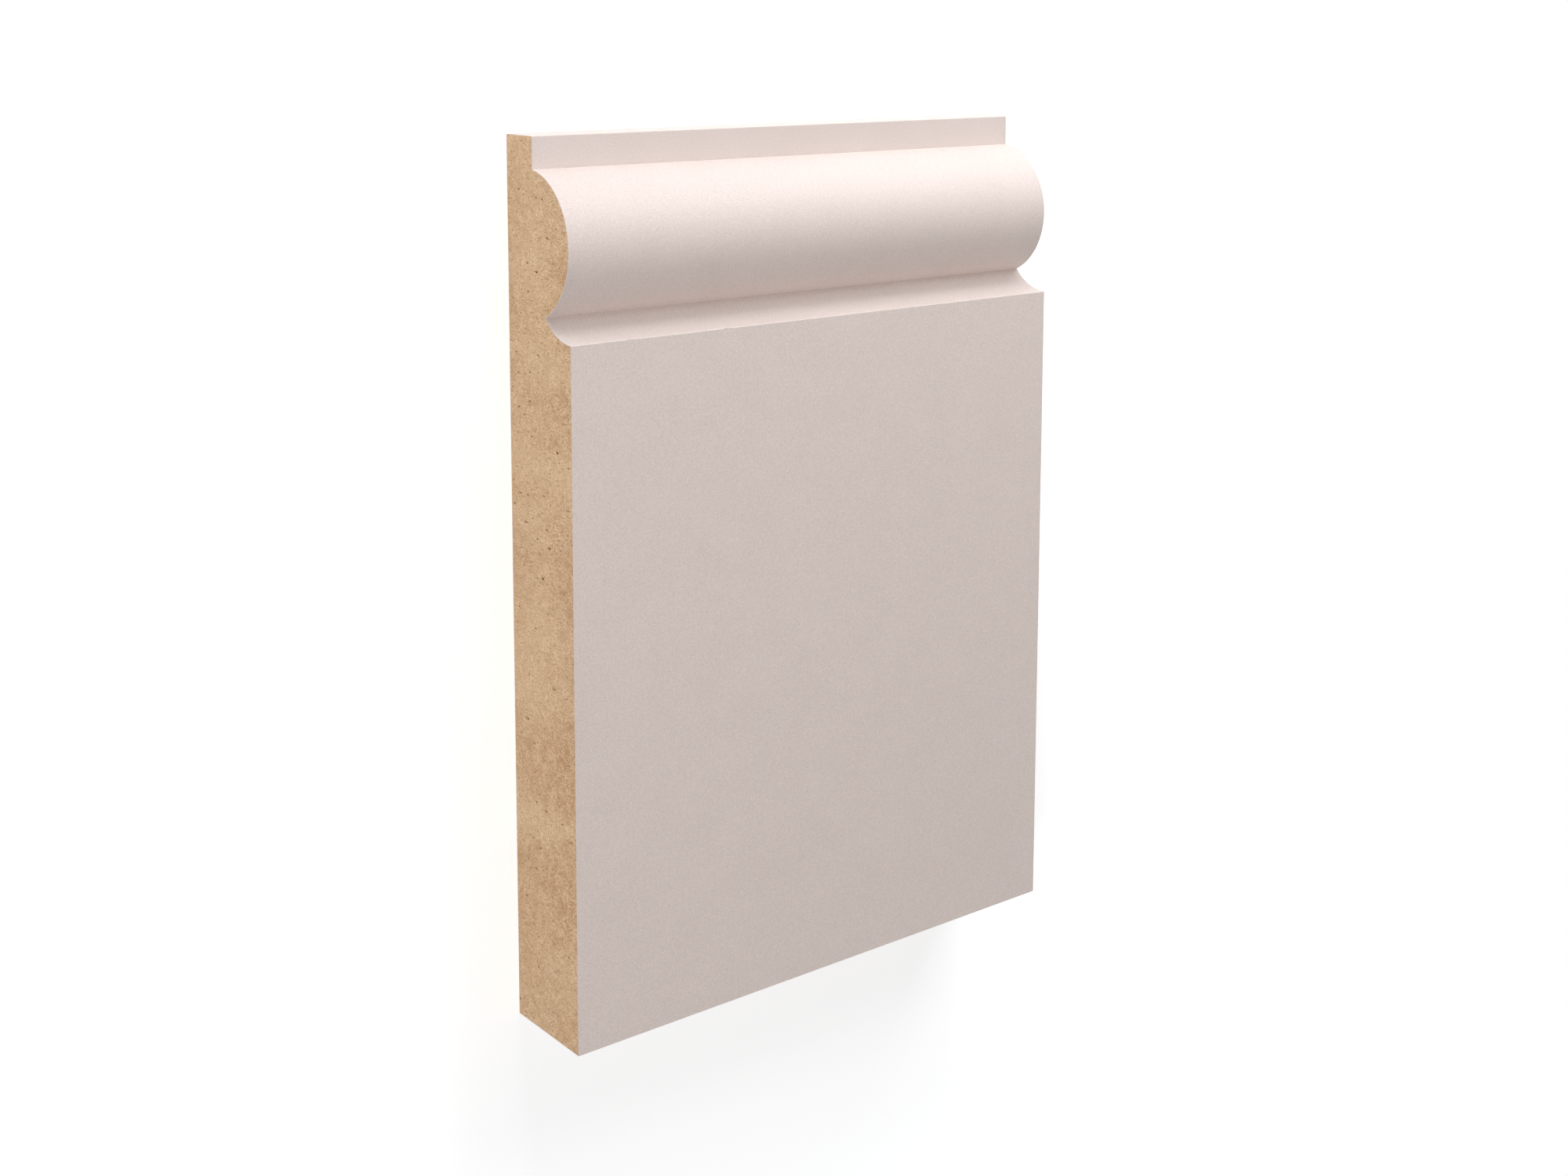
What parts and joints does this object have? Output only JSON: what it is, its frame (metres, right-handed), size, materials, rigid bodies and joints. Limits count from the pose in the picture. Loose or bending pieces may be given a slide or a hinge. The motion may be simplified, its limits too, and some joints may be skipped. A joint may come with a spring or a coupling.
{
  "type": "skirting board length",
  "caption": "Straight length of torus-moulded skirting board: a primed board with a half-round bead, quirk and cove along its top edge, sawn square at both ends.",
  "frame": {"origin": "centre of the board's flat back, as it lies on its back", "axes": "+X along the board, +Y from the plain bottom edge to the moulded top edge, +Z from the back to the face"},
  "size_m": [0.1, 0.144, 0.018],
  "materials": {
    "primed_mdf": "matt off-white primer on the face, moulding and edges, bare fibreboard on the sawn ends and the back"
  },
  "bodies": {
    "root": {"skirting_board": "primed_mdf"}
  },
  "joints": []
}
